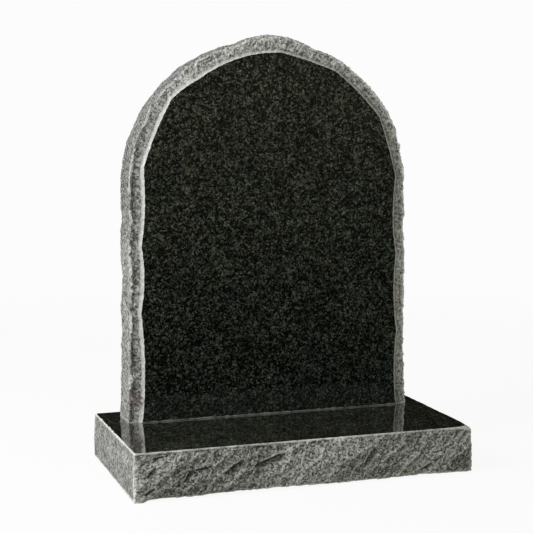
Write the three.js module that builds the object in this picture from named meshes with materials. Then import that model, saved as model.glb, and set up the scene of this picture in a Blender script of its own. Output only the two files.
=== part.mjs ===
// A half-round granite headstone with a pitched edge, standing on its own rock-faced base.
// Millimetres, +Z up. The origin is the middle of the base's underside and the polished face looks
// towards -Y.
import * as THREE from 'three';

// Base: a slab with a polished top, three pitched faces and a sawn back
const baseWidth = 610;
const baseDepth = 315;
const baseHeight = 83;
const topArris = 2.5;        // bruised arris round the polished top
const bulge = 4;             // how far the pitched faces swell past the top's edge
const leftBulge = 1.5;       // and the flatter left face
const flare = 1.7;           // how much further out they stand from mid-height down
const bedInset = 24;         // how far the flat bed stops short of the faces' chipped lower edge
const bedBevel = 9;          // height over which the faces run in to that edge
const cornerChip = { reach: 40, bite: 6, drop: 4 };  // knocked off the front's top right corner
const cornerFade = 14;       // the relief dies away this far from an upright corner
const cornerEase = 60;       // an inset ring draws its stations in this far from a corner

// Headstone: polished face, bruised band, rough ledge, hewn side, sawn back
const stoneWidth = 530;      // across the springing of the arch
const stoneHeight = 686;
const stoneThickness = 76;
const footSplay = 5;         // each side leans out this much by the foot
const bandWidth = 5.5;
const bandDepth = 5.5;
const ledgeDepth = 9.5;      // the rough ledge at its deepest, behind the face
const ridgeCrest = 8;        // its broken outer edge
const ridgeInset = 2;
const ridgeDepth = 16;
const footArris = 2;
const backArris = 3;

// How the headstone stands on the base
const faceSetback = 209;     // polished face behind the base's front edge
const stoneShift = 6;        // to the right of the base's middle
const bedClearance = 0.3;

// Spacing of the faceted skin
const stoneStep = 10;
const frontStep = 8;
const flankStep = 10;
const baseRows = 8;
const sideRows = 5;

// Bites of the pitching tool round the polished face, going from the left foot over to the right
// foot: share of the way round, rough margin left there, extra bow before the next bite
const bites = [
  [0, 24, 5.4],
  [0.118, 21, 5.2],
  [0.19, 21.4, 4.8],
  [0.275, 23.6, 5.3],
  [0.361, 22, 0.5],
  [0.403, 31.4, 1],
  [0.51, 27.8, 4.5],
  [0.583, 28.4, 3.7],
  [0.665, 25.4, 5],
  [0.742, 24.2, 5.6],
  [0.829, 23.6, 5],
  [0.915, 22.6, 4.6],
  [1, 24, 0],
];

// Flats and hollows knocked off the outline: share of the way round, distance inside the true arch
const outlineDips = [
  [0, -1],
  [0.03, 0.4],
  [0.06, 1.4],
  [0.08, 0.5],
  [0.09, 2.8],
  [0.1, 1.8],
  [0.12, 0],
  [0.135, 3.4],
  [0.152, 3.4],
  [0.188, -1.6],
  [0.215, 1.2],
  [0.26, -0.5],
  [0.3, 1],
  [0.32, 2.6],
  [0.34, 1.2],
  [0.38, 5],
  [0.4, 3],
  [0.425, 4.5],
  [0.45, 6],
  [0.462, 7.5],
  [0.478, 1],
  [0.49, -2.5],
  [0.52, -1],
  [0.548, 6.5],
  [0.575, 4],
  [0.606, 4.5],
  [0.64, 3],
  [0.66, 2],
  [0.684, 0],
  [0.7, 1.5],
  [0.712, 4.5],
  [0.74, 1.4],
  [0.765, 2.4],
  [0.785, 1.2],
  [0.8, 4],
  [0.812, 1.4],
  [0.828, 0],
  [0.872, 1.2],
  [0.91, 3.4],
  [0.955, 1.8],
  [1, -1],
];

// Chips along the lower edge: share of the front's width from the left, or of the left side's
// depth from the front, and height that the edge is raised above the bed
const lowerChips = [
  [0, 0.6],
  [0.025, 0.2],
  [0.037, 3.2],
  [0.08, 4.8],
  [0.15, 3.8],
  [0.19, 3.2],
  [0.21, 5.6],
  [0.42, 5.4],
  [0.48, 5],
  [0.52, 3.8],
  [0.6, 3],
  [0.65, 4.8],
  [0.685, 3.4],
  [0.78, 4],
  [0.85, 5.3],
  [0.89, 3.8],
  [1, 2.6],
];
const leftChips = [
  [0, 0.6],
  [0.06, 2.6],
  [0.25, 3],
  [0.4, 4.6],
  [0.52, 3.8],
  [0.65, 5.4],
  [1, 4.8],
];

// Spalls of the front face: shares of its width and height at the upper lip's middle, then length,
// width, slant in degrees and depth
const spalls = [
  [0.046, 0.6, 24, 16, 45, 6],
  [0.042, 0.22, 20, 12, 30, 5],
  [0.067, 0.88, 22, 10, 12, 3],
  [0.144, 0.46, 22, 10, 63, 4],
  [0.185, 0.6, 46, 12, 7, 3.5],
  [0.276, 0.58, 44, 18, 30, 7],
  [0.382, 0.66, 60, 26, 18, 7],
  [0.68, 0.56, 38, 20, 55, 5],
  [0.828, 0.78, 32, 12, 50, 4],
  [0.856, 0.22, 26, 12, 27, 5.5],
];

// Flake scars of each hewn surface: length, width, depth, slant in degrees and the draw's seed
const frontScars = [
  { length: 74, width: 30, depth: 5, slant: 34, seed: 11 },
  { length: 34, width: 16, depth: 2.2, slant: 42, seed: 23 },
];
const leftScars = [
  { length: 80, width: 34, depth: 2.5, slant: 12, seed: 31 },
  { length: 30, width: 18, depth: 1.6, slant: -20, seed: 37 },
];
const rightScars = [
  { length: 80, width: 34, depth: 4, slant: -18, seed: 41 },
  { length: 30, width: 18, depth: 1.6, slant: 20, seed: 47 },
];
const sideScars = [
  { length: 52, width: 34, depth: 2.6, slant: 8, seed: 53 },
];
const ledgeScars = [
  { length: 40, width: 22, depth: 2.4, slant: 24, seed: 61 },
];

const scarLift = 0.4;        // how much shallower one scar may be than the next, as a share
const scarMiddle = 0.45;     // the scars' mean level, so that they cut in and stand out alike
const lipSteepness = 3;      // a spall's upper lip is this much steeper than its lower side
const ledgeShare = 0.5;      // where the row between the ledge's two edges lies

const archRadius = stoneWidth / 2;
const springHeight = stoneHeight - archRadius;
const archRun = Math.PI * archRadius;
const wholeRun = 2 * springHeight + archRun;

// The same number from 0 to 1 each time for a cell of the draw
function chance(column, row, seed) {
  const mixed = Math.sin(column * 127.1 + row * 311.7 + seed * 74.7) * 43758.5453;
  return mixed - Math.floor(mixed);
}

// Straight interpolation in a list of [place, value]
function along(list, place) {
  const next = Math.max(1, list.findIndex((entry) => entry[0] >= place));
  const [from, start] = list[next - 1];
  const [to, end] = list[next];
  return start + (end - start) * (place - from) / (to - from);
}

// Shallow dished scars that meet in crests, outward positive
function scarring(cuts, across, up) {
  let total = 0;
  for (const cut of cuts) {
    const slant = THREE.MathUtils.degToRad(cut.slant);
    const a = (across * Math.cos(slant) + up * Math.sin(slant)) / cut.length;
    const b = (up * Math.cos(slant) - across * Math.sin(slant)) / cut.width;
    let dish = Infinity;
    for (let column = Math.floor(a) - 1; column <= Math.floor(a) + 1; column += 1) {
      for (let row = Math.floor(b) - 1; row <= Math.floor(b) + 1; row += 1) {
        const da = a - column - chance(column, row, cut.seed);
        const db = b - row - chance(column, row, cut.seed + 1);
        const lift = scarLift * chance(column, row, cut.seed + 2);
        dish = Math.min(dish, da * da + db * db + lift);
      }
    }
    total += cut.depth * (dish - scarMiddle);
  }
  return total;
}

// Depth of the front's spalls: a steep upper lip over a hollow that runs out downwards
function spalling(across, up) {
  let total = 0;
  for (const [shareAcross, shareUp, length, width, slantDegrees, depth] of spalls) {
    const slant = THREE.MathUtils.degToRad(slantDegrees);
    const x = across - shareAcross * baseWidth;
    const z = up - shareUp * baseHeight;
    const lengthways = (x * Math.cos(slant) + z * Math.sin(slant)) / (length / 2);
    const sideways = (z * Math.cos(slant) - x * Math.sin(slant)) / width;
    const ends = Math.max(0, 1 - lengthways * lengthways);
    const profile = sideways < 0 ? 1 + sideways : 1 - lipSteepness * sideways;
    total += depth * ends * Math.max(0, profile);
  }
  return total;
}

// Rough margin between the true outline and the polished face's edge
function faceMargin(share) {
  const next = Math.max(1, bites.findIndex((bite) => bite[0] >= share));
  const [from, start, bow] = bites[next - 1];
  const [to, end] = bites[next];
  const t = (share - from) / (to - from);
  return start + (end - start) * t + bow * 4 * t * (1 - t);
}

// A place on the true outline, a distance round from the left foot, and the way out of the stone
function outlinePlace(run) {
  if (run <= springHeight) {
    const lean = footSplay * (1 - run / springHeight);
    return { x: -archRadius - lean, z: run, outX: -1, outZ: 0 };
  }
  if (run >= springHeight + archRun) {
    const height = wholeRun - run;
    const lean = footSplay * (1 - height / springHeight);
    return { x: archRadius + lean, z: height, outX: 1, outZ: 0 };
  }
  const angle = (run - springHeight) / archRadius;
  const outX = -Math.cos(angle);
  const outZ = Math.sin(angle);
  return { x: archRadius * outX, z: springHeight + archRadius * outZ, outX, outZ };
}

// A closed body from rings of equal count, each seen counterclockwise from the first ring's side
function bodyFromRings(rings) {
  const count = rings[0].length;
  const positions = rings.flat().flatMap((point) => point.toArray());
  const indices = [];
  for (let ring = 0; ring < rings.length - 1; ring += 1) {
    for (let i = 0; i < count; i += 1) {
      const a = ring * count + i;
      const b = ring * count + (i + 1) % count;
      indices.push(a, a + count, b, b, a + count, b + count);
    }
  }
  const capRing = (ring, facesFirst) => {
    const middle = positions.length / 3;
    const centre = new THREE.Box3().setFromPoints(rings[ring]).getCenter(new THREE.Vector3());
    positions.push(...centre.toArray());
    for (let i = 0; i < count; i += 1) {
      const a = ring * count + i;
      const b = ring * count + (i + 1) % count;
      indices.push(middle, ...(facesFirst ? [a, b] : [b, a]));
    }
  };
  capRing(0, true);
  capRing(rings.length - 1, false);
  const geometry = new THREE.BufferGeometry();
  geometry.setAttribute('position', new THREE.Float32BufferAttribute(positions, 3));
  geometry.setIndex(indices);
  geometry.computeVertexNormals();
  return geometry;
}

// One ring of the headstone: how far inside the outline, how deep behind the face, what share of the
// outline's dips it takes, and its scars, which lie on the ledge or else on the side. Its two feet
// have no scars and may have their own depth, so that the rings end in one flat bed.
function stoneRing(inset, depth, dipShare, cuts, onLedge, footDepth = depth) {
  const stations = Math.round(wholeRun / stoneStep);
  const ring = [];
  for (let i = 0; i <= stations; i += 1) {
    const run = wholeRun * i / stations;
    const share = run / wholeRun;
    const place = outlinePlace(run);
    const within = inset(share);
    const atFoot = i === 0 || i === stations;
    const relief = atFoot ? 0 : scarring(cuts, run, onLedge ? within : depth);
    const out = -within - along(outlineDips, share) * dipShare + (onLedge ? 0 : relief);
    ring.push(new THREE.Vector3(
      place.x + place.outX * out,
      (atFoot ? footDepth : depth) - (onLedge ? relief : 0),
      place.z + place.outZ * out,
    ));
  }
  return ring.reverse();
}

function makeHeadstone() {
  const noCuts = [];
  const face = stoneRing(faceMargin, 0, 0, noCuts, true);
  face[0].z = footArris;
  face[face.length - 1].z = footArris;
  const rings = [
    face,
    stoneRing((share) => faceMargin(share) - bandWidth, bandDepth, 0, noCuts, true),
    stoneRing(
      (share) => (faceMargin(share) - bandWidth) * (1 - ledgeShare),
      ledgeDepth, ledgeShare, ledgeScars, true, (bandDepth + ridgeCrest) / 2,
    ),
    stoneRing(() => ridgeInset, ridgeCrest, 1, ledgeScars, true),
  ];
  for (let row = 0; row <= sideRows; row += 1) {
    const depth = ridgeDepth + (stoneThickness - backArris - ridgeDepth) * row / sideRows;
    rings.push(stoneRing(() => 0, depth, 1, sideScars, false));
  }
  rings.push(stoneRing(() => backArris, stoneThickness, 1, noCuts, true));
  return bodyFromRings(rings);
}

// A face of the base as seen from outside: the corner it starts from at its left end, the way along
// it and the way out of it, its length, the step along it and its scars
function makeFace(name, start, way, out, length, step, cuts) {
  return { name, start, way, out, length, step, cuts };
}

const faces = [
  makeFace('front', [-1, -1], [1, 0], [0, -1], baseWidth, frontStep, frontScars),
  makeFace('right', [1, -1], [0, 1], [1, 0], baseDepth, flankStep, rightScars),
  makeFace('back', [1, 1], [-1, 0], [0, 1], baseWidth, baseWidth, []),
  makeFace('left', [-1, 1], [0, -1], [-1, 0], baseDepth, flankStep, leftScars),
];

// How far a face stands out from its top edge: only the back is sawn, plumb and flat
function pitchedOut(face, distance, height) {
  if (face.name === 'back') return 0;
  const fromCorner = Math.min(distance, face.length - distance);
  const fade = THREE.MathUtils.smoothstep(fromCorner, 0, cornerFade);
  const lean = flare * THREE.MathUtils.smoothstep(baseHeight - height, 0, baseHeight / 2);
  const most = face.name === 'left' ? leftBulge : bulge;
  const swell = most * Math.sin(Math.PI * height / baseHeight);
  const spall = face.name === 'front' ? spalling(distance, height) : 0;
  return lean + fade * (swell + scarring(face.cuts, distance, height) - spall);
}

// One ring of the base: the height and the way out that each place on the faces has. Near a corner
// the stations also follow the next face in or out.
function baseRing(heightAt, outAt) {
  const ring = [];
  const ease = (fromCorner) => Math.max(0, 1 - fromCorner / cornerEase);
  for (const [index, face] of faces.entries()) {
    const before = faces[(index + faces.length - 1) % faces.length];
    const after = faces[(index + 1) % faces.length];
    const stations = Math.round(face.length / face.step);
    for (let i = 0; i < stations; i += 1) {
      const distance = face.length * i / stations;
      const height = heightAt(face, distance);
      const out = outAt(face, distance, height);
      const station = distance - outAt(before, before.length, height) * ease(distance)
        + outAt(after, 0, height) * ease(face.length - distance);
      ring.push(new THREE.Vector3(
        face.start[0] * baseWidth / 2 + face.way[0] * station + face.out[0] * out,
        face.start[1] * baseDepth / 2 + face.way[1] * station + face.out[1] * out,
        height,
      ));
    }
  }
  return ring;
}

// How much of the chipped corner a place on the top's edge takes, from 0 to 1
function cornerLoss(face, distance) {
  if (face.name !== 'front' && face.name !== 'right') return 0;
  const fromChip = face.name === 'front' ? face.length - distance : distance;
  return Math.max(0, 1 - fromChip / cornerChip.reach) ** 2;
}

function makeBase() {
  const topInset = (face, distance) => -topArris - cornerChip.bite * cornerLoss(face, distance);
  const arrisHeight = (face, distance) => (
    baseHeight - topArris - cornerChip.drop * cornerLoss(face, distance)
  );
  const lowerEdge = (face, distance) => {
    if (face.name === 'front') return along(lowerChips, distance / baseWidth);
    if (face.name === 'left') return along(leftChips, 1 - distance / baseDepth);
    return lowerChips.at(-1)[1];
  };
  const highest = baseHeight - 2 * topArris - cornerChip.drop;
  const rings = [
    baseRing(() => baseHeight, topInset),
    baseRing(arrisHeight, () => 0),
  ];
  for (let row = 0; row <= baseRows; row += 1) {
    const height = highest + (bedBevel - highest) * row / baseRows;
    rings.push(baseRing(() => height, pitchedOut));
  }
  rings.push(baseRing(lowerEdge, (face) => (face.name === 'back' ? 0 : flare)));
  rings.push(baseRing(() => 0, () => -bedInset));
  return bodyFromRings(rings);
}

const polishedGranite = new THREE.MeshStandardMaterial({
  name: 'polished granite', color: 0x2a2b27, roughness: 0.12, metalness: 0,
});
const pitchedGranite = new THREE.MeshStandardMaterial({
  name: 'pitched granite', color: 0x6f706b, roughness: 0.85, metalness: 0,
});

const base = new THREE.Mesh(makeBase(), pitchedGranite);
base.name = 'base';

const headstone = new THREE.Mesh(makeHeadstone(), polishedGranite);
headstone.name = 'headstone';
headstone.position.set(stoneShift, faceSetback - baseDepth / 2, baseHeight + bedClearance);

const group = new THREE.Group();
group.add(base, headstone);

export default group;
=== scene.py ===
import math

import bmesh
import bpy
import numpy as np
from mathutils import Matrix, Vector


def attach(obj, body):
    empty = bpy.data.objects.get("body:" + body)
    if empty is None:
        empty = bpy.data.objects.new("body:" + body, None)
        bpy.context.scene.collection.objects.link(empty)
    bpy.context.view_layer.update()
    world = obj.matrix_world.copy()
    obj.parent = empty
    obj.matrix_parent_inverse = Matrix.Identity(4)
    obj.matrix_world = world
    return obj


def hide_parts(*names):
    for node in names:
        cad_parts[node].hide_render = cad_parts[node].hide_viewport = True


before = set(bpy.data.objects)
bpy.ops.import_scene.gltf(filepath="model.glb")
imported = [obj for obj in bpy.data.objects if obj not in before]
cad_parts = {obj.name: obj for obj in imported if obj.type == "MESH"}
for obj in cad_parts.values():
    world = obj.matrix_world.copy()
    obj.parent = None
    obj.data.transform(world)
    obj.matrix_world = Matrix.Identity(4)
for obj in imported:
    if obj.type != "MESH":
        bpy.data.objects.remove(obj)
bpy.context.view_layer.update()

# A half-round granite headstone on its rock-faced base. Metres, +Z up, the polished face looks
# towards -Y.
MM = 0.001

# Base: a slab with a polished top, three pitched faces and a sawn back
BASE_WIDTH = 610 * MM
BASE_DEPTH = 315 * MM
BASE_HEIGHT = 83 * MM
TOP_ARRIS = 2.5 * MM         # bruised arris round the polished top
ARRIS_SHARE = 0.75           # mean height of the broken arris, as a share of the true one
BELOW_ARRIS = 1.3 * MM       # the bruised line ends this far below the arris
FULL_RELIEF = 4 * MM         # and the pitched relief is full this far below it
BULGE = 4 * MM               # how far the pitched faces swell past the top's edge
LEFT_BULGE = 1.5 * MM        # and the flatter left face
FLARE = 1.7 * MM             # how much further out they stand from mid-height down
BED_INSET = 24 * MM          # how far the flat bed stops short of the faces' chipped lower edge
BED_BEVEL = 9 * MM           # height over which the faces run in to that edge
LOWEST_EDGE = 0.1 * MM       # the edge stays this far above the bed
CHIP_REACH = 40 * MM         # knocked off the front's top right corner
CHIP_BITE = 6 * MM
CHIP_DROP = 4 * MM
CORNER_FADE = 14 * MM        # the relief dies away this far from an upright corner
CORNER_EASE = 60 * MM        # an inset ring draws its stations in this far from a corner
CORNER_ROUND = 4 * MM        # broken round of the front's upright corners
CORNER_LOSS = 1.44 * MM      # how much it takes off, on average
CORNER_REACH = 8 * MM        # and how far its bruise reaches

# Headstone: polished face, bruised band, rough ledge with a ridge, hewn side, sawn back
STONE_WIDTH = 530 * MM
STONE_HEIGHT = 686 * MM
STONE_THICKNESS = 76 * MM
FOOT_SPLAY = 5 * MM
BAND_WIDTH = 5.5 * MM
BAND_DEPTH = 5.5 * MM
STEP_DEPTH = 1.06 * BAND_DEPTH               # the small step behind the band
LEDGE_DEPTH = 9.5 * MM       # the rough ledge at its deepest, behind the face
RIDGE_CREST = 8 * MM         # its broken outer edge, behind the face
RIDGE_INSET = 2 * MM
RIDGE_RUN = 5 * MM           # width over which the ridge's inner flank rises
SHOULDER_DEPTH = 11.5 * MM   # the ridge's outer flank, behind the face
RIDGE_DEPTH = 16 * MM        # and where it ends in the side
BACK_ARRIS = 3 * MM
FOOT_ARRIS = 1.9 * MM        # broken edge between the face and the foot
FOOT_ARRIS_DEPTH = 1 * MM
FOOT_FADE = 10 * MM          # height over which the face's edge comes down to its foot
RELIEF_FADE = 4 * MM         # height over which the relief dies away to the foot

# How the headstone stands on the base
FACE_SETBACK = 209 * MM      # polished face behind the base's front edge
STONE_SHIFT = 6 * MM         # to the right of the base's middle
BED_CLEARANCE = 0.3 * MM

ARCH_RADIUS = STONE_WIDTH / 2
SPRING_HEIGHT = STONE_HEIGHT - ARCH_RADIUS
ARCH_RUN = math.pi * ARCH_RADIUS
WHOLE_RUN = 2 * SPRING_HEIGHT + ARCH_RUN

# Bites of the pitching tool round the polished face, going from the left foot over to the right
# foot: share of the way round, rough margin left there in mm, extra bow before the next bite
BITES = [
    (0, 24, 5.4), (0.118, 21, 5.2), (0.19, 21.4, 4.8), (0.275, 23.6, 5.3), (0.361, 22, 0.5),
    (0.403, 31.4, 1), (0.51, 27.8, 4.5), (0.583, 28.4, 3.7), (0.665, 25.4, 5), (0.742, 24.2, 5.6),
    (0.829, 23.6, 5), (0.915, 22.6, 4.6), (1, 24, 0),
]

# Flats and hollows knocked off the outline: share of the way round, mm inside the true arch
OUTLINE_DIPS = [
    (0, -1), (0.03, 0.4), (0.06, 1.4), (0.08, 0.5), (0.09, 2.8), (0.1, 1.8), (0.12, 0),
    (0.135, 3.4), (0.152, 3.4), (0.188, -1.6), (0.215, 1.2), (0.26, -0.5), (0.3, 1), (0.32, 2.6),
    (0.34, 1.2), (0.38, 5), (0.4, 3), (0.425, 4.5), (0.45, 6), (0.462, 7.5), (0.478, 1),
    (0.49, -2.5), (0.52, -1), (0.548, 6.5), (0.575, 4), (0.606, 4.5), (0.64, 3), (0.66, 2),
    (0.684, 0), (0.7, 1.5), (0.712, 4.5), (0.74, 1.4), (0.765, 2.4), (0.785, 1.2), (0.8, 4),
    (0.812, 1.4), (0.828, 0), (0.872, 1.2), (0.91, 3.4), (0.955, 1.8), (1, -1),
]

# Where the ridge is broken down to the ledge: share of the way round, mm further back
RIDGE_FALL = [(0, 0), (0.26, 0), (0.32, 2.2), (0.5, 2.2), (0.57, 0), (1, 0)]

# Chips along the base's lower edge: share of the front's width from the left, or of the left
# side's depth from the front, and mm that the edge is raised above the bed
LOWER_CHIPS = [
    (0, 0.6), (0.025, 0.2), (0.037, 3.2), (0.08, 4.8), (0.15, 3.8), (0.19, 3.2), (0.21, 5.6),
    (0.42, 5.4), (0.48, 5), (0.52, 3.8), (0.6, 3), (0.65, 4.8), (0.685, 3.4), (0.78, 4),
    (0.85, 5.3), (0.89, 3.8), (1, 2.6),
]
LEFT_CHIPS = [(0, 0.6), (0.06, 2.6), (0.25, 3), (0.4, 4.6), (0.52, 3.8), (0.65, 5.4), (1, 4.8)]

# Spalls of the front face: shares of its width and height at the upper lip's middle, then length
# and width in mm, slant in degrees and depth in mm
SPALLS = [
    (0.046, 0.6, 24, 16, 45, 6), (0.042, 0.22, 20, 12, 30, 5), (0.067, 0.88, 22, 10, 12, 3),
    (0.144, 0.46, 22, 10, 63, 4), (0.185, 0.6, 46, 12, 7, 3.5), (0.276, 0.58, 44, 18, 30, 7),
    (0.382, 0.66, 60, 26, 18, 7), (0.68, 0.56, 38, 20, 55, 5), (0.828, 0.78, 32, 12, 50, 4),
    (0.856, 0.22, 26, 12, 27, 5.5),
]
LIP_STEEPNESS = 7            # a spall's upper lip is this much steeper than its lower side

# Flake scars of each hewn surface: length, width and depth in mm, slant in degrees, the draw's seed
FRONT_SCARS = [(74, 30, 5, 34, 11), (34, 16, 2.2, 42, 23)]
LEFT_SCARS = [(80, 34, 2.5, 12, 31), (30, 18, 1.6, -20, 37)]
RIGHT_SCARS = [(80, 34, 4, -18, 41), (30, 18, 1.6, 20, 47)]
SIDE_SCARS = [(52, 34, 2.6, 8, 53)]
LEDGE_SCARS = [(40, 22, 2.4, 24, 61)]
SCAR_LIFT = 0.4              # how much shallower one scar may be than the next, as a share
SCAR_MIDDLE = 0.45           # the scars' mean level, so that they cut in and stand out alike

# Finer chips and broken crystals on every hewn surface, in the same order of values
SMALL_SCARS = [(22, 13, 2.8, 46, 71), (10, 6, 1.15, -25, 73)]
CRYSTALS = [(8, 5, 1.15, 56, 83), (4.2, 3, 0.8, 20, 89)]
LEFT_FINENESS = 0.3          # the base's left face broke cleaner

# Random unevenness: how far it swings each way, the spacing of its turns and the draw's seed
EDGE_WAVER = (0.45 * MM, 5 * MM, 3)          # the polished face's edge
BAND_WAVER = (1.1 * MM, 7 * MM, 5)           # the band's outer edge
RIDGE_SWAY = (2 * MM, 8 * MM, 31)            # the ridge, in and out
RIDGE_NOD = (2.2 * MM, 11 * MM, 33)          # the ridge, forwards and back
FOOT_WAVER = (0.8 * MM, 8 * MM, 41)          # height of the foot's broken edge
LOWER_WAVER = (0.7 * MM, 6 * MM, 43)         # the base's lower edge
CORNER_WAVER = (0.96 * MM, 6 * MM, 19)       # loss at its upright corners
ARRIS_PATCHES = (0.35, 11 * MM, 13)          # height of its broken arris, as a share
ARRIS_FLECKS = (0.25, 4 * MM, 17)
KNOCK_PATCHES = (1, 17.6 * MM, 35)           # knocks on the headstone's ridge and foot
KNOCK_FLECKS = (0.4, 6.4 * MM, 36)
KNOCK_START, KNOCK_FULL = -0.6, 0.4          # a knock grows between these sums of the two
BRUISE_PATCHES = (0.35, 11 * MM, 7)          # strength of the headstone's bruises
BRUISE_FLECKS = (0.3, 4 * MM, 9)
WORN_PATCHES = (0.4, 11 * MM, 23)            # strength of the base's bruises
CORNER_FLECKS = (0.3, 5 * MM, 29)            # and of those of its upright corners
FRONT_MOTTLE = (0.35, 38 * MM, 47)           # paling of its front in slanting patches

# Bruising of the headstone, and light and shade painted on it, the lists by share of the way round
RIDGE_BRUISE = [(0, 1), (0.15, 1), (0.26, 0.5), (0.33, 0.15), (0.5, 0.15), (0.6, 0.3), (1, 0.3)]
BAND_BRUISE = [(0, 1.1), (0.28, 1.1), (0.4, 0.7), (0.6, 0.5), (0.75, 0.4), (1, 0.4)]
# Painted light and shade on the ledge: darker up the left, paler over the crown and down the right
LEDGE_PAINTED_LIGHT = [
    (0, -0.28), (0.15, -0.35), (0.3, -0.3), (0.37, 0.25), (0.42, 0.65), (0.6, 0.7), (1, 0.6),
]
# Painted shade on the side, darkest round the left half of the arch
SIDE_PAINTED_SHADE = [(0, -0.05), (0.17, 0), (0.25, -0.45), (0.42, -0.5), (0.5, -0.1), (1, 0)]
SKIN_BRUISE = 0.75           # mean strength of a bruise that no other value sets
BAND_FLECKING = 0.1          # share of the bruises' unevenness that shows on the band
RIDGE_CHIP = 2.6 * MM        # how far in a knock takes the ridge
KNOCK_BRUISE = 2             # and how much it bruises it
FOOT_BRUISE, FOOT_KNOCK = 0.5, 0.6           # the foot's broken edge, and its knocks
# Painted light on the foot's broken edge, which faces down, in place of light from the polished top
# below
FOOT_EDGE_PAINTED_LIGHT = 0.4

# Bruising of the base, and light and shade painted on it: its lower edge and arris, its left face,
# its front from left to right, its spalls' hollows and its upright corners from the bed up
BASE_BRUISE = 0.8
LEFT_BRUISE = 0.8
CORNER_BRUISE = 1.5
CORNER_WEAR = [(0, 1.25), (1, 0.25)]
# Painted light: the left face, which faces the key, made paler, more so on its bruised arris and lower
# edge
LEFT_PAINTED_LIGHT, ARRIS_PAINTED_HIGHLIGHT = 0.1, 0.5
# Painted shade: the front darker towards its right end, away from the key
FRONT_PAINTED_SHADE = [(0, 0), (0.6, 0), (1, -0.15)]
# Painted shade: a dark band just under each spall's upper lip
SPALL_PAINTED_SHADE = -0.75
# Painted highlight on the front's left upright corner, which faces the key
CORNER_PAINTED_HIGHLIGHT = 0.4

# Rings of the headstone's edge, from the polished face back: rows of mesh since the ring before, and
# mm along the profile since then, share of the face's margin, further inset, depth behind the face,
# shares of the outline's dips, of the ledge's scars, of the side's scars and of the fine relief, turn
# of the fine relief from forwards to outwards, and bruising
STONE_RINGS = [
    (0, 0, 1, 0, 0, 0, 0, 0, 0, 0.5, 1.1),
    (4, 8, 1, -BAND_WIDTH, BAND_DEPTH, 0, 0, 0, 0.2, 0.5, 0.5),
    (1, 1.2, 0.94, -0.94 * BAND_WIDTH, STEP_DEPTH, 0, 0.3, 0, 0.6, 0, 0.05),
    (4, 7, 0.5, -0.5 * BAND_WIDTH, 0.95 * LEDGE_DEPTH, 0.5, 1, 0, 0.7, 0, 0),
    (4, 4, 0, RIDGE_INSET + RIDGE_RUN, 0.99 * LEDGE_DEPTH, 0.9, 1, 0, 0.7, 0, 0),
    (4, 6.2, 0, RIDGE_INSET, RIDGE_CREST, 1, 1, 0, 0.85, 0.3, 0.95),
    (3, 3.7, 0, 0.4 * RIDGE_INSET, SHOULDER_DEPTH, 1, 0.5, 0.5, 1, 0.7, 0.8),
    (4, 4.6, 0, 0, RIDGE_DEPTH, 1, 0, 1, 0.9, 1, 0.05),
    (36, 57, 0, 0, STONE_THICKNESS - BACK_ARRIS, 1, 0, 1, 0.7, 1, 0),
    (3, 4.2, 0, BACK_ARRIS, STONE_THICKNESS, 1, 0, 0, 0, 1, 0.6),
]
# Places in that list where the band, the step, the ledge, the ridge's crest and its shoulder lie
BAND_RING, STEP_RING, LEDGE_RING, RIDGE_RING, SHOULDER_RING = 1, 2, 3, 5, 6

# Rings of the base's sides, from the polished top down: rows of mesh since the ring before, shares of
# the broad scars and of the fine relief, share of the lean, and bruising
BASE_RINGS = [
    (0, 0, 0, 1, 1),
    (3, 0, 0.4, 1, 0.85),
    (1, 0.15, 0.8, 1, 0.2),
    (3, 1, 1, 1, 0),
    (46, 1, 1, 1, 0),
    (5, 0, 0.8, 1, 0.15),
    (4, 0, 0, 0, 0.1),
]

# Mesh of the hewn skin
STONE_STEP = 1.5 * MM
FOOT_STEP = 4 * MM
BASE_STEP = 1.25 * MM
BACK_STATIONS = 4
TOUCHING = 0.01 * MM         # a place this close to an outline's line is on it
CRISP_ANGLE = math.radians(42)
CREST_REACH = 2              # edges of mesh that count as near, for the sharp crests
CREST_HEIGHT = 0.35 * MM
RISE_REACH = 12              # and for the broad rises and hollows
RISE_HEIGHT = 1.5 * MM
SAWN_NORMAL = 0.99           # a skin that faces this squarely backwards is sawn
POLISHED, PITCHED, SAWN = 0, 1, 2            # order of a piece's finishes


def chance(column, row, seed):
    """The same number from 0 to 1 each time for a cell of the draw"""
    mixed = np.sin(column * 127.1 + row * 311.7 + seed * 74.7) * 43758.5453
    return mixed - np.floor(mixed)


def smoothstep(value, start, end):
    t = np.clip((value - start) / (end - start), 0, 1)
    return t * t * (3 - 2 * t)


def wander(place, spacing, seed):
    """A smooth random line from -1 to 1, with a new draw at each spacing"""
    cell = np.floor(place / spacing)
    ease = smoothstep(place / spacing - cell, 0, 1)
    start = chance(cell, 0, seed)
    return 2 * (start + (chance(cell + 1, 0, seed) - start) * ease) - 1


def uneven(place, *kinds):
    """Random unevenness at a place, of one or more kinds added up"""
    return sum(swing * wander(place, spacing, seed) for swing, spacing, seed in kinds)


def slanted(cut, across, up):
    """A place in a cut's own cells, which are as long and wide as the cut and lie along its slant"""
    length, width, depth, slant_degrees, seed = cut
    slant = math.radians(slant_degrees)
    a = (across * math.cos(slant) + up * math.sin(slant)) / (length * MM)
    b = (up * math.cos(slant) - across * math.sin(slant)) / (width * MM)
    return a, b, depth * MM, seed


def near_cells(a, b, seed):
    """The nine cells round a place: how far the place is from each one's own middle, and the cell"""
    for column in np.floor(a) + np.array([[-1], [0], [1]]):
        for row in np.floor(b) + np.array([[-1], [0], [1]]):
            da = a - column - chance(column, row, seed)
            db = b - row - chance(column, row, seed + 1)
            yield da, db, column, row


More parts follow.
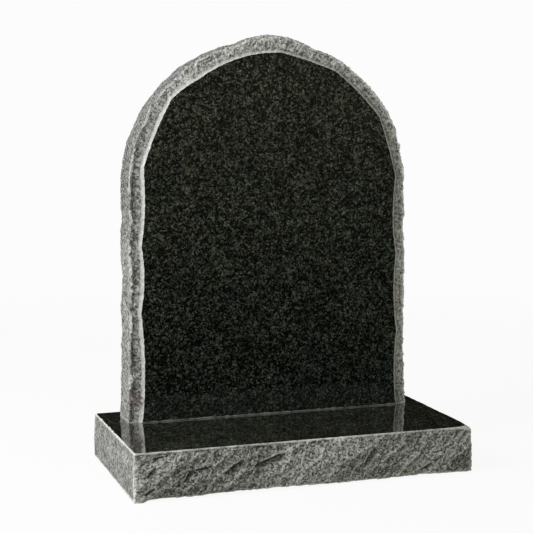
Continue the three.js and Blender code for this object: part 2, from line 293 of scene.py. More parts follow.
def scarring(cuts, across, up):
    """Shallow dished scars that meet in crests, outward positive"""
    total = np.zeros_like(across)
    for cut in cuts:
        a, b, depth, seed = slanted(cut, across, up)
        dish = np.full_like(across, np.inf)
        for da, db, column, row in near_cells(a, b, seed):
            lift = SCAR_LIFT * chance(column, row, seed + 2)
            dish = np.minimum(dish, da * da + db * db + lift)
        total += depth * (dish - SCAR_MIDDLE)
    return total


def crystal_faces(cuts, across, up):
    """Small flat faces of broken crystals, each turned its own way"""
    total = np.zeros_like(across)
    for cut in cuts:
        a, b, depth, seed = slanted(cut, across, up)
        nearest = np.full_like(across, np.inf)
        face = np.zeros_like(across)
        for da, db, column, row in near_cells(a, b, seed):
            turned = (
                (2 * chance(column, row, seed + 2) - 1) * da
                + (2 * chance(column, row, seed + 3) - 1) * db
                + chance(column, row, seed + 4) - 0.5
            )
            away = da * da + db * db
            face = np.where(away < nearest, turned, face)
            nearest = np.minimum(nearest, away)
        total += depth * face
    return total


def spalling(across, up):
    """Depth of the front's spalls, a steep upper lip over a hollow that runs out downwards, and how
    much each place lies under a lip"""
    total = np.zeros_like(across)
    under = np.zeros_like(across)
    for share_across, share_up, length, width, slant_degrees, depth in SPALLS:
        slant = math.radians(slant_degrees)
        x = across - share_across * BASE_WIDTH
        z = up - share_up * BASE_HEIGHT
        lengthways = (x * math.cos(slant) + z * math.sin(slant)) / (length * MM / 2)
        sideways = (z * math.cos(slant) - x * math.sin(slant)) / (width * MM)
        profile = np.where(sideways < 0, 1 + sideways, 1 - LIP_STEEPNESS * sideways)
        ends = np.maximum(0, 1 - lengthways**2)
        total += depth * MM * ends * np.maximum(0, profile)
        under = np.maximum(under, np.minimum(2 * ends, 1) * np.maximum(0, profile)**3)
    return total, under


def along(pairs, share):
    """Straight interpolation in pairs of a share and a number"""
    shares, values = zip(*pairs)
    return np.interp(share, shares, values)


def face_margin(share):
    """Rough margin between the true outline and the polished face's edge"""
    shares, margins, bows = (np.array(column) for column in zip(*BITES))
    bite = np.clip(np.searchsorted(shares, share) - 1, 0, len(BITES) - 2)
    t = (share - shares[bite]) / (shares[bite + 1] - shares[bite])
    straight = margins[bite] + (margins[bite + 1] - margins[bite]) * t
    return (straight + bows[bite] * 4 * t * (1 - t)) * MM


def places_of(mesh):
    """The mesh's vertex places as three columns"""
    flat = np.empty(len(mesh.vertices) * 3)
    mesh.vertices.foreach_get("co", flat)
    return flat.reshape(-1, 3).T


def note(mesh, name, values):
    """Keeps one number at each vertex for the materials to read"""
    attribute = mesh.attributes.new(name, "FLOAT", "POINT")
    attribute.data.foreach_set("value", values.astype(np.float32))


def crests(mesh, passes):
    """How far each vertex stands out of the mesh round it, over a reach of that many edges"""
    ends = np.empty(len(mesh.edges) * 2, np.int64)
    mesh.edges.foreach_get("vertices", ends)
    first, second = ends[0::2], ends[1::2]
    places = np.stack(places_of(mesh))
    count = len(mesh.vertices)
    shares = np.bincount(ends, minlength=count)
    smooth = places
    for _ in range(passes):
        smooth = np.stack([
            (np.bincount(first, line[second], count) + np.bincount(second, line[first], count)) / shares
            for line in smooth
        ])
    normals = np.empty(count * 3)
    mesh.vertex_normals.foreach_get("vector", normals)
    return ((places - smooth) * normals.reshape(-1, 3).T).sum(axis=0)


def edges_between(shape, test):
    return [edge for edge in shape.edges if all(test(vert.co) for vert in edge.verts)]


def drawn_out(shape, way, rows):
    """Draws a closed outline out into rows one unit apart, and caps both ends"""
    bmesh.ops.spin(
        shape, geom=shape.verts[:] + shape.edges[:], cent=(0, 0, 0), axis=(0, 0, 1),
        dvec=way, angle=0, steps=rows,
    )
    direction = Vector(way)
    for end in (0, rows):
        rim = edges_between(shape, lambda place: abs(place.dot(direction) - end) < 0.5)
        bmesh.ops.contextual_create(shape, geom=rim)
    bmesh.ops.recalc_face_normals(shape, faces=shape.faces[:])


def stone_outline():
    """The arch on its two straight sides, closed along the foot"""
    shape = bmesh.new()
    foot = shape.verts.new((-ARCH_RADIUS, 0, 0))
    springing = shape.verts.new((-ARCH_RADIUS, 0, SPRING_HEIGHT))
    shape.edges.new((foot, springing))
    arch = bmesh.ops.spin(
        shape, geom=[springing], cent=(0, 0, SPRING_HEIGHT), axis=(0, 1, 0), dvec=(0, 0, 0),
        angle=math.pi, steps=round(ARCH_RUN / STONE_STEP),
    )
    end = [item for item in arch["geom_last"] if isinstance(item, bmesh.types.BMVert)]
    bmesh.ops.extrude_vert_indiv(shape, verts=end)["verts"][0].co.z = 0
    sides = [edge for edge in shape.edges if edge.calc_length() > SPRING_HEIGHT / 2]
    bmesh.ops.subdivide_edges(shape, edges=sides, cuts=round(SPRING_HEIGHT / STONE_STEP) - 1)
    foot_edge = shape.edges.new([vert for vert in shape.verts if len(vert.link_edges) == 1])
    bmesh.ops.subdivide_edges(shape, edges=[foot_edge], cuts=round(STONE_WIDTH / FOOT_STEP) - 1)
    return shape


def fine_relief(across, up):
    """Small chips and broken crystals, outward positive"""
    return scarring(SMALL_SCARS, across, up) + crystal_faces(CRYSTALS, across, up)


def hew_stone(mesh):
    """Moves each vertex of the drawn out arch to its place on the hewn stone"""
    x, row, z = places_of(mesh)
    angle = np.arctan2(z - SPRING_HEIGHT, -x)
    on_side = z < SPRING_HEIGHT
    at_foot = z < TOUCHING
    on_face = row < 0.5
    side_run = np.where(x < 0, z, WHOLE_RUN - z)
    run = np.where(on_side, side_run, SPRING_HEIGHT + ARCH_RADIUS * angle)
    out_x = np.where(on_side, np.sign(x), -np.cos(angle))
    out_z = np.where(on_side, 0, np.sin(angle))
    share = run / WHOLE_RUN

    rows, profile_steps, *columns = zip(*STONE_RINGS)
    ring_rows = np.cumsum(rows)
    (
        margin_share, further, depth, dip_share, ledge_share, side_share, fine_share, turn, bruise,
    ) = (np.interp(row, ring_rows, column) for column in columns)
    profile_run = np.interp(row, ring_rows, np.cumsum(profile_steps) * MM)
    at_ridge = np.interp(row, ring_rows, np.arange(len(ring_rows)) == RIDGE_RING)
    grip = smoothstep(z, 0, RELIEF_FADE)

    # The margin, the ridge's knocks and its sway shape the profile
    scallop = face_margin(share) + uneven(run, EDGE_WAVER)
    nibble = uneven(run, BAND_WAVER) * smoothstep(row, 0, ring_rows[BAND_RING])
    knock_run = np.where(at_foot, x, run)
    knock = smoothstep(uneven(knock_run, KNOCK_PATCHES, KNOCK_FLECKS), KNOCK_START, KNOCK_FULL)
    knocked = along(RIDGE_BRUISE, share) * knock**3
    sway = (uneven(run, RIDGE_SWAY) + RIDGE_CHIP * knocked) * at_ridge * grip
    nod = (uneven(run, RIDGE_NOD) + along(RIDGE_FALL, share) * MM) * at_ridge * grip
    inset = margin_share * (scallop + nibble) + further + sway

    # At the foot the hollow between the band and the ridge closes
    level = np.interp(row, ring_rows[[STEP_RING, RIDGE_RING]], [STEP_DEPTH, RIDGE_CREST])
    hollow = np.where(row < ring_rows[RIDGE_RING], np.maximum(depth - level, 0), 0)

    ledge_relief = ledge_share * scarring(LEDGE_SCARS, run, inset)
    side_relief = side_share * scarring(SIDE_SCARS, run, depth)
    fine = fine_share * fine_relief(run, profile_run) * grip
    out = (
        side_relief * grip - inset - along(OUTLINE_DIPS, share) * MM * dip_share
        + fine * np.sin(turn * math.pi / 2)
    )
    back = (
        depth - hollow * (1 - grip) + nod - ledge_relief * grip
        - fine * np.cos(turn * math.pi / 2)
    )
    back = np.where(at_foot & ~on_face, np.maximum(back, FOOT_ARRIS_DEPTH), back)
    splay = np.where(on_side, FOOT_SPLAY * (1 - z / SPRING_HEIGHT), 0) * np.sign(x)
    reach = np.where(at_foot, np.abs(x) / ARCH_RADIUS, 1)
    lift = FOOT_ARRIS + uneven(knock_run, FOOT_WAVER)
    foot_lift = np.where(on_face, lift * np.maximum(0, 1 - z / FOOT_FADE), 0)

    flecks = uneven(run, BRUISE_PATCHES, BRUISE_FLECKS)
    on_band = row < ring_rows[STEP_RING]
    on_ridge = (row > ring_rows[LEDGE_RING]) & (row <= ring_rows[SHOULDER_RING])
    band_fade = (1 - along(BAND_BRUISE, share)) * row / ring_rows[STEP_RING]
    strength = np.select(
        [on_band & at_foot, on_band, on_ridge],
        [
            FOOT_BRUISE + FOOT_KNOCK * knock, 1 - band_fade + BAND_FLECKING * flecks,
            KNOCK_BRUISE * knocked,
        ],
        SKIN_BRUISE + flecks,
    )
    note(mesh, "bruise", bruise * strength)
    # Painted light and shade on the ledge and the side
    skin_painted_light_and_shade = ledge_share * along(LEDGE_PAINTED_LIGHT, share) + side_share * along(SIDE_PAINTED_SHADE, share)
    # Painted light on the foot's broken edge; elsewhere the ledge's and side's painted light and shade
    note(mesh, "pale", np.where(on_band & at_foot, FOOT_EDGE_PAINTED_LIGHT, skin_painted_light_and_shade))
    return (
        x + reach * (splay + out_x * out) + STONE_SHIFT,
        back + FACE_SETBACK - BASE_DEPTH / 2,
        z + out_z * out + foot_lift + BASE_HEIGHT + BED_CLEARANCE,
    )


def base_outline():
    """The top's rectangle, with its stations set out along the front and the two sides"""
    shape = bmesh.new()
    half_width, half_depth = BASE_WIDTH / 2, BASE_DEPTH / 2
    corners = [
        shape.verts.new((side_x * half_width, side_y * half_depth, 0))
        for side_x, side_y in ((-1, -1), (1, -1), (1, 1), (-1, 1))
    ]
    for index, corner in enumerate(corners):
        shape.edges.new((corners[index - 1], corner))
    front = edges_between(shape, lambda place: place.y < 0)
    back = edges_between(shape, lambda place: place.y > 0)
    flanks = [edge for edge in shape.edges if edge not in front + back]
    for edges, stations in (
        (front, round(BASE_WIDTH / BASE_STEP)), (flanks, round(BASE_DEPTH / BASE_STEP)),
        (back, BACK_STATIONS),
    ):
        bmesh.ops.subdivide_edges(shape, edges=edges, cuts=stations - 1)
    return shape


def hew_base(mesh):
    """Moves each vertex of the drawn out rectangle to its place on the pitched base"""
    x, y, row = places_of(mesh)
    row = -row
    half_width, half_depth = BASE_WIDTH / 2, BASE_DEPTH / 2
    from_left, from_front = x + half_width, y + half_depth
    on_front = from_front < TOUCHING
    on_left = from_left < TOUCHING
    on_right = BASE_WIDTH - from_left < TOUCHING
    on_back = BASE_DEPTH - from_front < TOUCHING
    on_flank = on_left | on_right
    side = np.where(from_left < half_width, -1, 1)
    end = np.where(from_front < half_depth, -1, 1)
    to_side = np.minimum(from_left, BASE_WIDTH - from_left)
    to_end = np.minimum(from_front, BASE_DEPTH - from_front)
    around = np.where(on_left, -from_front, np.where(on_right, BASE_WIDTH + from_front, from_left))

    rows, *columns = zip(*BASE_RINGS)
    ring_rows = np.cumsum(rows)
    broad_share, fine_share, lean_share, bruise = (
        np.interp(row, ring_rows, column) for column in columns
    )

    def by_ring(values):
        return sum(
            np.interp(row, ring_rows, np.arange(len(ring_rows)) == ring) * value
            for ring, value in enumerate(values)
        )

    # The arris and the lower edge, and how far out each ring stands
    chip_gap = np.hypot(BASE_WIDTH - from_left, from_front)
    loss = np.where(on_front | on_right, np.maximum(0, 1 - chip_gap / CHIP_REACH)**2, 0)
    ragged = TOP_ARRIS * ARRIS_SHARE * (1 + uneven(around, ARRIS_PATCHES, ARRIS_FLECKS))
    arris = BASE_HEIGHT - ragged - CHIP_DROP * loss
    back_chips = [(0, LEFT_CHIPS[-1][1]), (1, LOWER_CHIPS[-1][1])]
    chips = np.select(
        [on_front, on_left, on_back],
        [
            along(LOWER_CHIPS, from_left / BASE_WIDTH), along(LEFT_CHIPS, from_front / BASE_DEPTH),
            along(back_chips, from_left / BASE_WIDTH),
        ],
        LOWER_CHIPS[-1][1],
    )
    waver = np.where(on_back, 0, uneven(around, LOWER_WAVER))
    lower = np.maximum(chips * MM + waver, LOWEST_EDGE)
    height = by_ring([BASE_HEIGHT, arris, arris - BELOW_ARRIS, arris - FULL_RELIEF, BED_BEVEL, lower, 0])
    out = by_ring([-ragged - CHIP_BITE * loss, 0, 0, 0, 0, 0, -BED_INSET])
    lean = FLARE * smoothstep(BASE_HEIGHT - height, 0, BASE_HEIGHT / 2) * lean_share

    # Stations near a corner follow it in or out along their own face
    chipped = (side > 0) & (end < 0)
    corner_out = by_ring([-TOP_ARRIS - CHIP_BITE * chipped, 0, 0, 0, 0, 0, -BED_INSET])
    way_x = np.where(
        on_flank, 0, side * (corner_out + lean) * np.maximum(0, 1 - to_side / CORNER_EASE)
    )
    way_y = np.where(
        on_flank & (to_end > TOUCHING),
        end * (corner_out + lean * (end < 0)) * np.maximum(0, 1 - to_end / CORNER_EASE), 0,
    )

    # Each face swells and carries its own scars, and the front its spalls
    swell = np.where(on_left, LEFT_BULGE, BULGE) * np.sin(math.pi * height / BASE_HEIGHT)
    for on_face, scars, distance, length, out_x, out_y in (
        (on_front, FRONT_SCARS, from_left, BASE_WIDTH, 0, -1),
        (on_right, RIGHT_SCARS, from_front, BASE_DEPTH, 1, 0),
        (on_left, LEFT_SCARS, BASE_DEPTH - from_front, BASE_DEPTH, -1, 0),
        (on_back, [], from_left, BASE_WIDTH, 0, 1),
    ):
        fade = smoothstep(np.minimum(distance, length - distance), 0, CORNER_FADE)
        relief = swell + scarring(scars, distance, height) if scars else 0
        if out_y < 0:
            spalls, under = spalling(distance, height)
            relief = relief - spalls
            # Painted shade towards the front's right end and under the spalls' lips, plus the front's
            # own random mottle
            front_painted_shade_and_mottle = along(FRONT_PAINTED_SHADE, distance / length) + SPALL_PAINTED_SHADE * under * broad_share
            front_painted_shade_and_mottle += uneven(distance - height, FRONT_MOTTLE)
        face_out = out + broad_share * fade * relief + (lean if scars else 0)
        way_x += np.where(on_face, out_x * face_out, 0)
        way_y += np.where(on_face, out_y * face_out, 0)

    # The fine relief, and the broken round of the front's upright corners
    back_fade = smoothstep(BASE_DEPTH - from_front, 0, CORNER_FADE)
    fineness = fine_share * np.where(on_left, LEFT_FINENESS, 1)
    fine = fineness * fine_relief(around, height) * back_fade
    corner_gap = np.hypot(to_side, from_front)
    rounding = np.maximum(0, 1 - corner_gap / CORNER_ROUND)**2 * fine_share
    cut = fine - rounding * (CORNER_LOSS + uneven(height, CORNER_WAVER))
    turn = np.clip(0.5 + 0.5 * (to_side - from_front) / CORNER_ROUND, 0, 1)
    way_x += side * cut * np.cos(turn * math.pi / 2)
    way_y += -cut * np.sin(turn * math.pi / 2)

    strength = along(CORNER_WEAR, height / BASE_HEIGHT) + uneven(height, CORNER_FLECKS)
    upright = np.maximum(0, 1 - corner_gap / CORNER_REACH) * strength
    worn = bruise * (BASE_BRUISE + uneven(around, WORN_PATCHES)) * np.where(on_left, LEFT_BRUISE, 1)
    note(mesh, "bruise", np.maximum(worn, CORNER_BRUISE * upright))
    # Painted light on the left face and its bruised arris and lower edge
    left_painted_light = LEFT_PAINTED_LIGHT + ARRIS_PAINTED_HIGHLIGHT * bruise
    painted_light_and_mottle = np.select([on_left, on_front], [left_painted_light, front_painted_shade_and_mottle], 0)
    # The pale attribute: painted light and shade, the front's random mottle, and a painted highlight on
    # its left upright corner
    note(mesh, "pale", painted_light_and_mottle + CORNER_PAINTED_HIGHLIGHT * upright * (side < 0))
    return x + way_x, y + way_y, height


def make_piece(name, node, outline, way, rings, hew, finishes):
    """Draws an outline out, hews it and gives its caps and its skin their finishes"""
    drawn_out(outline, way, sum(ring[0] for ring in rings))
    mesh = bpy.data.meshes.new(name)
    outline.to_mesh(mesh)
    outline.free()
    hewn_places = np.stack(hew(mesh), axis=1)
    mesh.vertices.foreach_set("co", hewn_places.ravel())
    for finish in finishes:
        mesh.materials.append(finish)
    mesh.update()
    # Measures of how far the skin stands out or sinks in, which the pitched finish turns into painted
    # highlight and painted shade
    note(mesh, "crest", crests(mesh, CREST_REACH) / CREST_HEIGHT)
    note(mesh, "rise", crests(mesh, RISE_REACH) / RISE_HEIGHT)
    mesh.set_sharp_from_angle(angle=CRISP_ANGLE)
    for face in mesh.polygons:
        is_cap = len(face.vertices) > 4
        if is_cap and (face.normal.y < -0.5 or face.normal.z > 0.5):
            face.material_index = POLISHED
        elif is_cap or face.normal.y > SAWN_NORMAL:
            face.material_index = SAWN
        else:
            face.material_index = PITCHED
        face.use_smooth = not is_cap
    piece = bpy.data.objects.new(name, mesh)
    bpy.context.scene.collection.objects.link(piece)
    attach(piece, "root")
    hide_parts(node)
    return piece


class Wire:
    """A node's output that takes part in sums as a number does, each adding its Math node"""

    def __init__(self, finish, socket):
        self.finish = finish
        self.socket = socket

    def maths(self, operation, first, second):
        settings = {"operation": operation}
        return self.finish.node("Math", "Value", settings, {0: first, 1: second})

    def __add__(self, other):
        return self.maths("ADD", self, other)

    def __radd__(self, other):
        return self.maths("ADD", other, self)

    def __sub__(self, other):
        return self.maths("SUBTRACT", self, other)

    def __rsub__(self, other):
        return self.maths("SUBTRACT", other, self)

    def __mul__(self, other):
        return self.maths("MULTIPLY", self, other)

    def __rmul__(self, other):
        return self.maths("MULTIPLY", other, self)

    def between(self, lowest, highest):
        return self.maths("MINIMUM", self.maths("MAXIMUM", self, lowest), highest)

    def above(self, edge, width):
        """0 below an edge, 1 above it, and a soft step of that width between"""
        settings = {"interpolation_type": "SMOOTHSTEP"}
        limits = {"Value": self, "From Min": edge - width / 2, "From Max": edge + width / 2}
        return self.finish.node("MapRange", "Result", settings, limits)


class Finish:
    """A material or the world, and its nodes"""

    def __init__(self, holder):
        self.holder = holder
        holder.use_nodes = True
        self.tree = holder.node_tree
        self.tree.nodes.clear()

    def node(self, kind, output, settings=None, sockets=None):
        """Adds a node: first its settings, then its sockets' values or links, and gives an output"""
        made = self.tree.nodes.new("ShaderNode" + kind)
        for name, value in (settings or {}).items():
            if name == "stops":
                self.set_stops(made.color_ramp, value)
            else:
                setattr(made, name, value)
        for name, value in (sockets or {}).items():
            socket = self.find(made.inputs, name)
            if isinstance(value, Wire):
                self.tree.links.new(value.socket, socket)
            else:
                socket.default_value = value
        return Wire(self, self.find(made.outputs, output)) if output is not None else made

    def find(self, sockets, name):
        """A socket by its number, its identifier or its name"""
        if isinstance(name, int):
            return sockets[name]
        for socket in sockets:
            if socket.identifier == name:
                return socket
        return sockets[name]

    def set_stops(self, ramp, stops):
        while len(ramp.elements) < len(stops):
            ramp.elements.new(1)
        for element, (place, colour) in zip(ramp.elements, stops):
            element.position = place
            element.color = colour

    def mix(self, share, first, second, blend="MIX"):
        """Mixes two colours"""
        settings = {"data_type": "RGBA", "blend_type": blend}
        sockets = {"Factor_Float": share, "A_Color": first, "B_Color": second}
        return self.node("Mix", "Result_Color", settings, sockets)

    def place(self):
        return self.node("TexCoord", "Object")

    def moved(self, place, by, amount):
        """A place shifted by a colour's three parts"""
        centred = self.node("VectorMath", 0, {"operation": "SUBTRACT"}, {0: by, 1: (0.5, 0.5, 0.5)})
        return self.node(
            "VectorMath", 0, {"operation": "ADD"}, {0: place, 1: self.scaled(centred, amount)}
        )

    def scaled(self, colour, amount):
        return self.node("VectorMath", 0, {"operation": "SCALE"}, {0: colour, "Scale": amount})

    def stretched(self, place, scale):
        return self.node("Mapping", "Vector", None, {"Vector": place, "Scale": scale})

    def close_to(self, place, middle, scale, radius):
        """1 round a middle, fading to 0 at a radius, in places stretched by a scale"""
        settings = {"operation": "DISTANCE"}
        target = tuple(part * stretch for part, stretch in zip(middle, scale))
        away = self.node(
            "VectorMath", "Value", settings, {0: self.stretched(place, scale), 1: target}
        )
        return 1 - away.above(0.6 * radius, 0.8 * radius)

    def noise(self, place, size, detail=2.0, roughness=0.5, output="Fac"):
        sockets = {"Vector": place, "Scale": 1 / size, "Detail": detail, "Roughness": roughness}
        return self.node("TexNoise", output, {"noise_dimensions": "3D"}, sockets)

    def grains(self, place, size, name):
        """A random number for each crystal of about that size"""
        sockets = {"Vector": place, "Scale": 1 / size, "Randomness": 1.0}
        colour = self.node("TexVoronoi", "Color", {"feature": "F1"}, sockets)
        return self.node("SeparateColor", name, {"mode": "RGB"}, {"Color": colour})

    def ramp(self, share, stops):
        return self.node("ValToRGB", "Color", {"stops": stops}, {"Fac": share})

    def attribute(self, name):
        return self.node("Attribute", "Fac", {"attribute_name": name})

    def surface(self, shader):
        self.node("OutputMaterial", None, None, {"Surface": shader})
        return self.holder


# Sizes of the granite's coarse and fine crystals and the coarse ones' share, on the polished faces
# and on the broken skin
FACE_GRAINS = (3.9 * MM, 2.3 * MM, 0.48)
SKIN_GRAINS = (4.2 * MM, 2.2 * MM, 0.6)
SHAKE_SIZE, SHAKE = 2.2 * MM, 2.4 * MM       # how the crystals' outlines waver

# Greys of each finish's crystals, from the darkest to the palest
FACE_GREYS = [
    (0, 0.0007), (0.28, 0.0012), (0.39, 0.005), (0.5, 0.0155), (0.62, 0.036), (0.74, 0.066),
    (0.88, 0.115), (1, 0.18),
]
SKIN_GREYS = [(0.05, 0.05), (0.3, 0.13), (0.5, 0.28), (0.7, 0.43), (0.95, 0.72)]
SAWN_GREYS = [(0.1, 0.1), (0.45, 0.2), (0.7, 0.28), (0.95, 0.42)]

# Polish: its clouds and hues, and painted light that brightens its crystals from the foot to the top
FACE_CLOUDS, FACE_HUES = 30 * MM, 42 * MM
HUE_SWING = 1.2
FACE_TINTS = [(0.15, (0.78, 1, 0.82, 1)), (0.5, (0.86, 1, 0.76, 1)), (0.85, (0.98, 1, 0.74, 1))]
LOW_PAINTED_LIGHT, HIGH_PAINTED_LIGHT = 0.8, 1.35
TINT_AND_PAINTED_LIGHT_HEIGHT = BASE_HEIGHT + STONE_HEIGHT
TOP_LEVEL = 1.05             # and this much more on the base's polished top
SMOOTHEST, SMEAR, SMEARS = 0.045, 0.03, 3 * MM           # roughness, its smears and their size

# Broken skin: its clouds, floury spots, streaks of bruising, painted highlight on crests, painted shade
# in crevices, and grit
SKIN_CLOUDS, SKIN_CLOUDING, SKIN_CONTRAST = 38 * MM, 0.5, 0.85
FLOURY_SPOTS, FLOURY_EDGE, FLOURY_WIDTH = 10 * MM, 0.58, 0.14
BRUISE_STREAKS, STREAK_WIDTH = 6 * MM, 0.3
BRUISE_LIGHT, BRUISE_DARK = 0.8, 0.56
BRUISE_GRAIN = 0.3           # how much the fine crystals break up a bruise
# Weights of the crests, broad rises, pale attribute and floury spots in the painted highlight and shade,
# then the level, gain and limit of each side
CREST_PAINTED_LIGHT, RISE_PAINTED_LIGHT, PALE_LIGHT_AND_MOTTLE, FLOURY_DUST = 0.65, 0.45, 0.5, 0.35
PAINTED_HIGHLIGHT_AND_PATCH_LEVEL, PAINTED_HIGHLIGHT_AND_PATCH_GAIN, PAINTED_HIGHLIGHT_AND_PATCH_LIMIT = 0.68, 0.7, 0.7
PAINTED_SHADE_AND_PATCH_LEVEL, PAINTED_SHADE_AND_PATCH_GAIN, PAINTED_SHADE_AND_PATCH_LIMIT = 0.045, 0.8, 0.85
PALE_LIGHT_AND_MOTTLE_GAIN = 0.5
SKIN_GRIT, GRIT_DEPTH = 0.9 * MM, 0.5 * MM

# A rust stain low on the headstone's left edge and a pale chip at the base's knocked corner
RUST_PLACE = (-0.243, 0.06, 0.121)
RUST_SCALE = (1, 1, 0.6)
RUST_RADIUS = 14 * MM
RUST_FLECKS, RUST_EDGE, RUST_WIDTH = 5 * MM, 0.45, 0.2
RUST_COLOUR = (0.12, 0.07, 0.045, 1)
CHIP_PLACE = (0.303, -0.155, 0.079)
CHIP_RADIUS = 9 * MM
CHIP_SHARE = 0.5
CHIP_COLOUR = (0.5, 0.56, 0.48, 1)

# Sawn face: level marks of the saw
SAW_STRETCH = (0.02, 0.02, 1)
SAW_MARKS, SAW_DEPTH = 2.5 * MM, 0.3 * MM
SAW_SHARE, SAW_LEVEL = 0.25, 0.36


def grey(level):
    """A stone grey, a trace greener than blue"""
    return (level, level * 1.01, level * 0.955, 1)


def greys(levels):
    """A ramp's stops in the stone's greys"""
    return [(place, grey(level)) for place, level in levels]


def new_finish(name):
    return Finish(bpy.data.materials.new(name))


def crystal_blend(finish, grains):
    """The place, each crystal's own random number, and the finer crystals' alone"""
    coarse_size, fine_size, coarse_share = grains
    place = finish.place()
    shake = finish.noise(place, SHAKE_SIZE, 2, 0.6, "Color")
    shaken = finish.moved(place, shake, SHAKE)
    coarse = finish.grains(shaken, coarse_size, "Red")
    fine = finish.grains(shaken, fine_size, "Green")
    return place, coarse * coarse_share + fine * (1 - coarse_share), fine


def polished_granite(name, level, coat, clouding, warmth):
    """Near-black mirror polish with fine grey crystals just under it"""
    finish = new_finish(name)
    place, blend, _ = crystal_blend(finish, FACE_GRAINS)
    cloud = finish.noise(place, FACE_CLOUDS, 3, 0.55)
    stone = finish.ramp(blend + (cloud - 0.5) * clouding, greys(FACE_GREYS))
    rise = finish.node("SeparateXYZ", "Z", None, {"Vector": place}) * (1 / TINT_AND_PAINTED_LIGHT_HEIGHT)
    hue = finish.noise(place, FACE_HUES, 2, 0.5)
    tint = finish.ramp(rise + warmth + (hue - 0.5) * HUE_SWING, FACE_TINTS)
    colour = finish.mix(1.0, stone, tint, "MULTIPLY")
    # Painted light: the crystals' colour grows brighter from the foot to the top
    lift = level * (LOW_PAINTED_LIGHT + (HIGH_PAINTED_LIGHT - LOW_PAINTED_LIGHT) * rise)
    shader = finish.node("BsdfPrincipled", "BSDF", None, {
        "Base Color": finish.scaled(colour, lift),
        "Roughness": SMOOTHEST + SMEAR * finish.noise(place, SMEARS),
        "IOR": 1.6, "Coat Weight": coat, "Coat IOR": 1.68, "Coat Roughness": 0.05,
    })
    return finish.surface(shader)


def pitched_granite():
    """Broken salt and pepper skin, paler where the tool bruised it, with painted highlight on its crests
    and painted shade in its hollows
    """
    finish = new_finish("pitched_granite")
    place, blend, fine = crystal_blend(finish, SKIN_GRAINS)
    cloud = finish.noise(place, SKIN_CLOUDS, 3, 0.55)
    tone = blend * SKIN_CONTRAST + (cloud - 0.5) * SKIN_CLOUDING + (1 - SKIN_CONTRAST) / 2
    stone = finish.ramp(tone, greys(SKIN_GREYS))

    # Painted highlight on the crests and broad rises and painted shade in the hollows, from the skin's
    # crest and rise measures; the pale attribute adds its painted light and shade, and the floury spots
    # their own paler tone
    floury = finish.noise(place, FLOURY_SPOTS).above(FLOURY_EDGE, FLOURY_WIDTH)
    pale = finish.attribute("pale")
    relief = (
        finish.attribute("crest") * CREST_PAINTED_LIGHT + finish.attribute("rise") * RISE_PAINTED_LIGHT
        + pale * PALE_LIGHT_AND_MOTTLE + floury * FLOURY_DUST
    )
    painted_highlight_and_patches = (relief * PAINTED_HIGHLIGHT_AND_PATCH_GAIN).between(0.0, PAINTED_HIGHLIGHT_AND_PATCH_LIMIT)
    painted_shade_and_patches = (relief * -PAINTED_SHADE_AND_PATCH_GAIN).between(0.0, PAINTED_SHADE_AND_PATCH_LIMIT)
    with_highlight_and_patches = finish.mix(painted_highlight_and_patches, stone, grey(PAINTED_HIGHLIGHT_AND_PATCH_LEVEL))
    with_shade_and_patches = finish.mix(painted_shade_and_patches, with_highlight_and_patches, grey(PAINTED_SHADE_AND_PATCH_LEVEL))

    # Bruises, the rust stain and the pale chip
    streaks = finish.noise(place, BRUISE_STREAKS, 3, 0.6).above(0.5, STREAK_WIDTH)
    bruised = finish.mix(streaks, grey(BRUISE_DARK), grey(BRUISE_LIGHT))
    worn = finish.attribute("bruise") + (fine - 0.5) * BRUISE_GRAIN
    worn_stone = finish.mix(worn.between(0.0, 1.0), with_shade_and_patches, bruised)
    rust = finish.close_to(place, RUST_PLACE, RUST_SCALE, RUST_RADIUS)
    flecks = finish.noise(place, RUST_FLECKS, 2).above(RUST_EDGE, RUST_WIDTH)
    rusty = finish.mix(rust * flecks, worn_stone, RUST_COLOUR)
    chip = finish.close_to(place, CHIP_PLACE, (1, 1, 1), CHIP_RADIUS)
    chipped = finish.mix(chip * CHIP_SHARE, rusty, CHIP_COLOUR)

    grit = finish.noise(place, SKIN_GRIT, 3, 0.6)
    bump = finish.node("Bump", "Normal", None, {
        "Strength": 0.6, "Distance": GRIT_DEPTH, "Height": grit + fine * 0.6,
    })
    # The pale attribute scales the colour too: painted light and shade, and the base front's random
    # mottle
    shader = finish.node("BsdfPrincipled", "BSDF", None, {
        "Base Color": finish.scaled(chipped, 1 + pale * PALE_LIGHT_AND_MOTTLE_GAIN),
        "Roughness": 0.72 + 0.2 * cloud, "Normal": bump, "IOR": 1.5,
    })
    return finish.surface(shader)


def sawn_granite():
    """Matt grey sawn face with faint level marks of the saw"""
    finish = new_finish("sawn_granite")
    place, blend, _ = crystal_blend(finish, SKIN_GRAINS)
    stone = finish.ramp(blend, greys(SAWN_GREYS))
    marks = finish.noise(finish.stretched(place, SAW_STRETCH), SAW_MARKS, 3, 0.6)
    bump = finish.node("Bump", "Normal", None, {
        "Strength": 0.35, "Distance": SAW_DEPTH, "Height": marks,
    })
    shader = finish.node("BsdfPrincipled", "BSDF", None, {
        "Base Color": finish.mix(SAW_SHARE * marks, stone, grey(SAW_LEVEL)),
        "Roughness": 0.62 + 0.1 * marks, "Normal": bump, "IOR": 1.5,
    })
    return finish.surface(shader)


